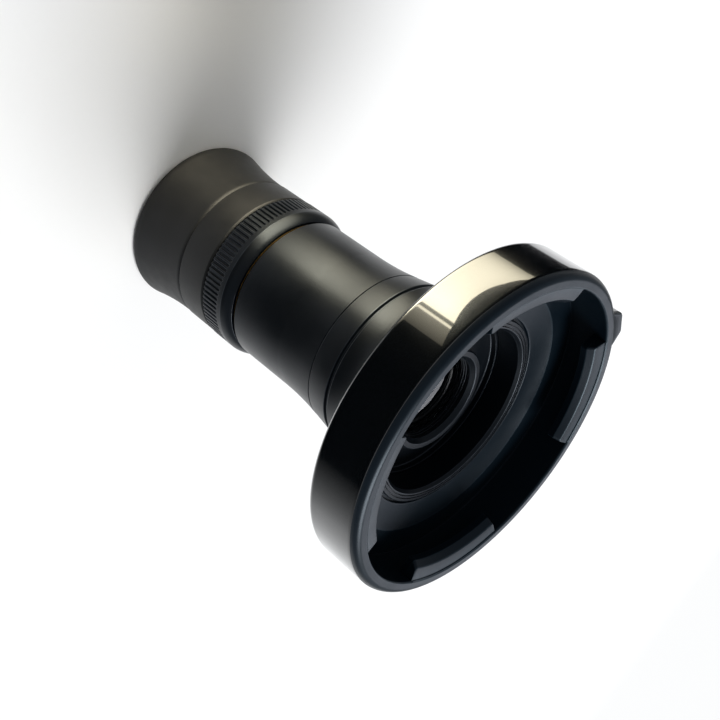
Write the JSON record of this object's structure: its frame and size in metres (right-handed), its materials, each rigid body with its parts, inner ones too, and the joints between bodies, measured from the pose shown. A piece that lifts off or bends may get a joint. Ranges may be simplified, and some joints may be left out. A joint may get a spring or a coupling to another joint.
{
  "type": "loupe eyepiece",
  "caption": "Clip-on loupe eyepiece: bayonet drum with tabs and index ear, flared neck, lens tube, knurled dioptre ring and flared rubber eyecup that slides out as the ring turns.",
  "frame": {"origin": "centre of the eyecup's end face, which the eyepiece stands on", "axes": "+Z along the optical axis from the eyecup towards the bayonet opening, +X through the ear on the rim"},
  "size_m": [0.0721, 0.07, 0.089],
  "materials": {
    "gloss_anodised": "glossy black anodised",
    "satin_anodised": "satin black anodised",
    "matt_black": "matt black anodised",
    "collar_coating": "matt black coated",
    "eyecup_rubber": "matt",
    "seal_rubber": "matt",
    "lens_glass": "polished, coated",
    "spring_steel": "ground",
    "sleeve_brass": "machined",
    "washer_plastic": "matt"
  },
  "bodies": {
    "housing": {"bayonet_ring": "gloss_anodised", "lock_ring": "satin_anodised", "adapter_neck": "satin_anodised", "front_cell": "satin_anodised", "front_crown": "lens_glass", "front_flint": "lens_glass", "front_retainer": "matt_black", "front_seal": "seal_rubber", "main_tube": "satin_anodised", "field_stop": "matt_black", "baffle_tube": "matt_black", "thrust_washer": "washer_plastic", "ring_circlip": "spring_steel"},
    "ring": {"dioptre_ring": "satin_anodised", "cam_sleeve": "sleeve_brass"},
    "eyepiece": {"eye_cell": "matt_black", "drive_pin_1": "spring_steel", "drive_pin_2": "spring_steel", "field_lens": "lens_glass", "lens_spacer": "matt_black", "eye_crown": "lens_glass", "eye_flint": "lens_glass", "eye_retainer": "matt_black", "slide_seal": "seal_rubber", "eye_collar": "collar_coating", "eyecup": "eyecup_rubber"}
  },
  "joints": [
    {"name": "dioptre_turn", "type": "hinge", "parent": "housing", "child": "ring", "pos_m": [0, 0, 0.027], "axis": [0, 0, 1], "range_deg": [0, 216]},
    {"name": "eyepiece_slide", "type": "slide", "parent": "housing", "child": "eyepiece", "axis": [0, 0, -1], "range_m": [0, 0.0036]}
  ],
  "couplings": [
    {"joint": "dioptre_turn", "follows": "eyepiece_slide", "rad_per_m": 1047.2}
  ]
}
